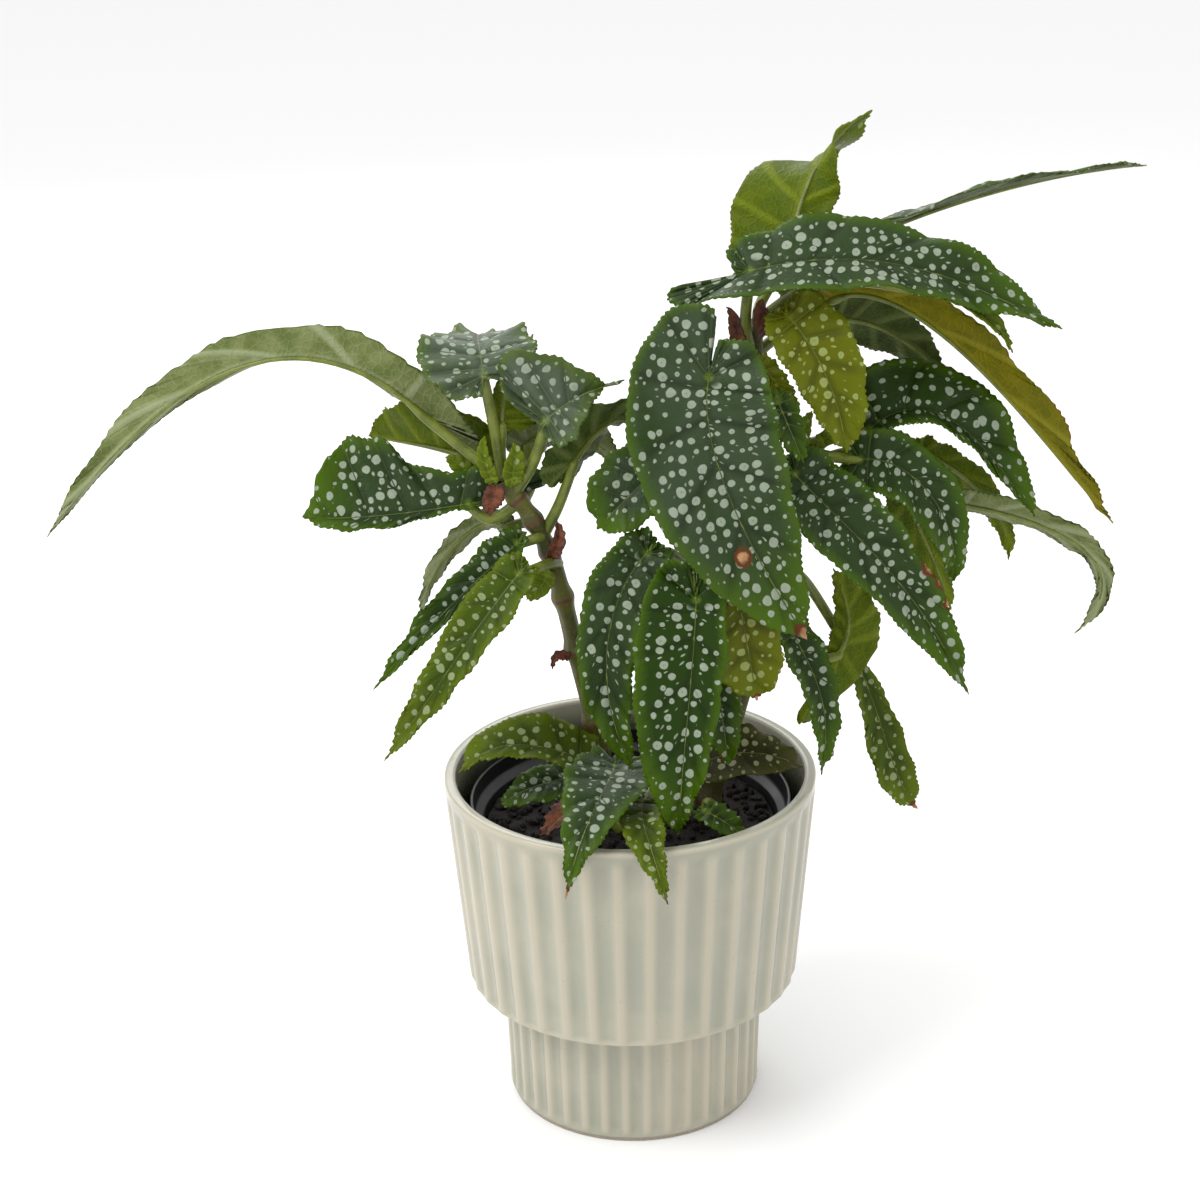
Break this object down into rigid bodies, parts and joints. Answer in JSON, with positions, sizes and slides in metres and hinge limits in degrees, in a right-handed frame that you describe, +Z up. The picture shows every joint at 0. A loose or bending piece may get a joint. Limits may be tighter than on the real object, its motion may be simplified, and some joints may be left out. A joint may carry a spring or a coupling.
{
  "type": "potted begonia",
  "caption": "Spotted cane begonia with long wing-shaped leaves, growing in a nursery pot inside a ribbed two-step glazed ceramic pot.",
  "frame": {"origin": "middle of the ceramic pot's flat underside", "axes": "+Z up along the pot's axis, +X to the taller right-hand canes, -Y towards the large front leaves"},
  "size_m": [0.417, 0.1564, 0.3863],
  "materials": {
    "glazed_ceramic": "glossy sage-grey glaze, lighter and warmer on the ribs",
    "black_plastic": "thin black moulded plastic",
    "potting_soil": "dark crumbly bark and peat mix",
    "cane_skin": "olive green cane with brown ringed joints",
    "leaf_dark": "dark green with silver spots, satin",
    "leaf_grey": "grey-green with silver spots, satin sheen",
    "leaf_olive": "olive to yellow-green young leaf",
    "leaf_lime": "thin lime-green young leaf, lets light through",
    "leaf_pale": "pale green underside with raised veins",
    "dry_scale": "dry red-brown bract"
  },
  "bodies": {
    "root": {"ceramic_pot": "glazed_ceramic", "nursery_pot": "black_plastic", "cane_left": "cane_skin", "cane_right": "cane_skin", "cane_front": "cane_skin", "soil": "potting_soil", "leaf_left_1": "leaf_pale", "leaf_left_2": "leaf_lime", "leaf_left_3": "leaf_dark", "leaf_left_4": "leaf_grey", "leaf_left_5": "leaf_lime", "leaf_left_6": "leaf_grey", "leaf_left_7": "leaf_olive", "leaf_left_8": "leaf_pale", "leaf_left_9": "leaf_dark", "leaf_left_10": "leaf_dark", "leaf_left_11": "leaf_pale", "leaf_right_1": "leaf_lime", "leaf_right_2": "leaf_grey", "leaf_right_3": "leaf_grey", "leaf_right_4": "leaf_olive", "leaf_right_5": "leaf_grey", "leaf_right_6": "leaf_olive", "leaf_right_7": "leaf_olive", "leaf_right_8": "leaf_dark", "leaf_right_9": "leaf_dark", "leaf_right_10": "leaf_pale", "leaf_right_11": "leaf_lime", "leaf_right_12": "leaf_lime", "leaf_right_13": "leaf_dark", "leaf_right_14": "leaf_dark", "leaf_right_15": "leaf_dark", "leaf_right_16": "leaf_dark", "leaf_right_17": "leaf_dark", "leaf_right_18": "leaf_lime", "leaf_right_19": "leaf_dark", "leaf_right_20": "leaf_olive", "leaf_right_21": "leaf_lime", "leaf_front_1": "leaf_dark", "leaf_front_2": "leaf_dark", "leaf_front_3": "leaf_dark", "leaf_low_1": "leaf_dark", "leaf_low_2": "leaf_dark", "leaf_low_3": "dry_scale", "leaf_low_4": "leaf_dark", "leaf_low_5": "leaf_dark", "leaf_low_6": "leaf_olive", "leaf_low_7": "leaf_dark", "scale_left_1": "dry_scale", "scale_left_2": "dry_scale", "scale_left_3": "leaf_lime", "scale_left_4": "leaf_lime", "scale_left_5": "leaf_lime", "scale_left_6": "dry_scale", "scale_left_7": "leaf_lime", "scale_right_1": "dry_scale", "scale_right_2": "dry_scale", "scale_right_3": "leaf_lime", "scale_right_4": "leaf_lime", "scale_right_5": "leaf_lime"}
  },
  "joints": []
}
